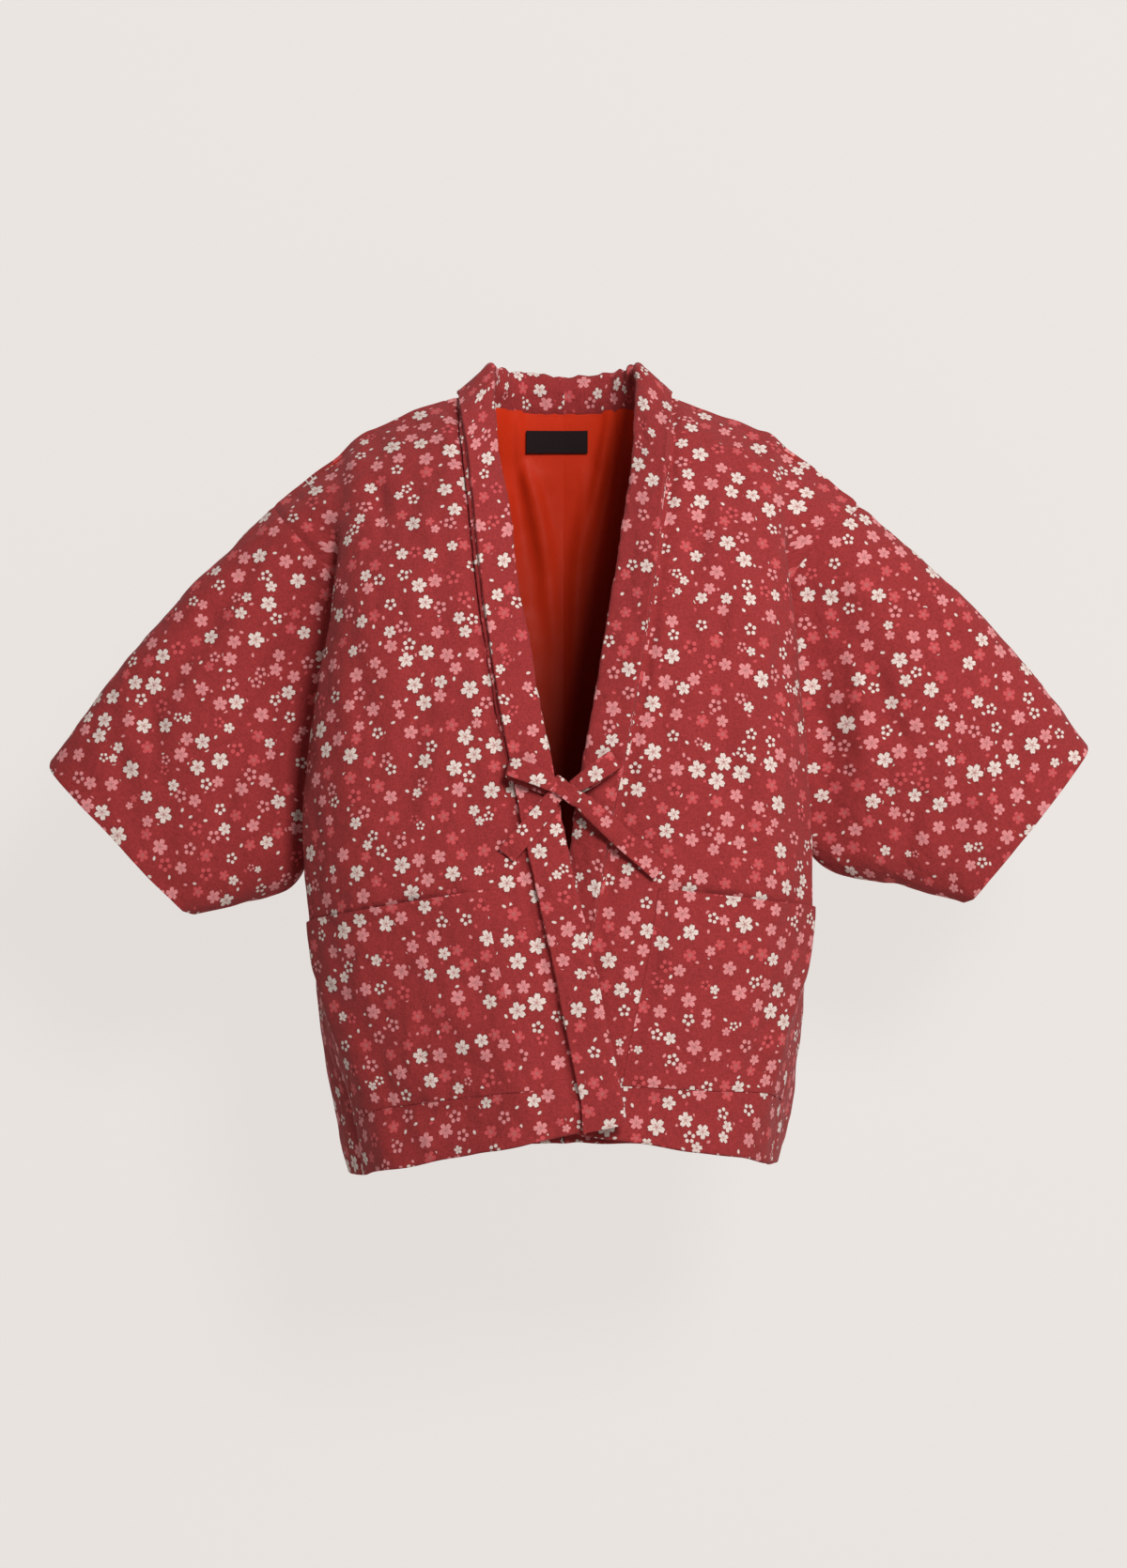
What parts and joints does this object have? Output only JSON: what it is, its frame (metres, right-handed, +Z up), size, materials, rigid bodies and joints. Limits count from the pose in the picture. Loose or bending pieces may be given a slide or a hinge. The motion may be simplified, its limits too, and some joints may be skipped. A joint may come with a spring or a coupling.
{
  "type": "kimono jacket (padded hanten style)",
  "caption": "Short padded cotton kimono jacket with wide sleeves, a padded band collar, patch pockets and a small bow tie, filled out as if worn.",
  "frame": {"origin": "the middle of the neck opening, level with the centre back neck seam", "axes": "+Z up, the fronts face -Y, and +X is towards the wearer's left sleeve"},
  "size_m": [1.0108, 0.29, 0.7845],
  "materials": {
    "printed_cotton": "matt cotton, red with a blossom print",
    "padded_collar": "matt cotton, the same print over firm wadding",
    "lining_satin": "smooth orange-red satin with a soft sheen",
    "label_ribbon": "dark woven ribbon, left bare"
  },
  "bodies": {
    "root": {"back_right": "printed_cotton", "back_left": "printed_cotton", "front_right": "printed_cotton", "front_left": "printed_cotton", "side_gusset_right": "printed_cotton", "side_gusset_left": "printed_cotton", "sleeve_right": "printed_cotton", "sleeve_left": "printed_cotton", "collar_right": "padded_collar", "collar_left": "padded_collar", "pocket_right": "printed_cotton", "pocket_left": "printed_cotton", "lining_back_right": "lining_satin", "lining_back_left": "lining_satin", "label": "label_ribbon", "tie_tail_right": "printed_cotton", "tie_tail_left": "printed_cotton", "tie_loop_right": "printed_cotton", "tie_loop_left": "printed_cotton", "tie_knot": "printed_cotton"}
  },
  "joints": []
}
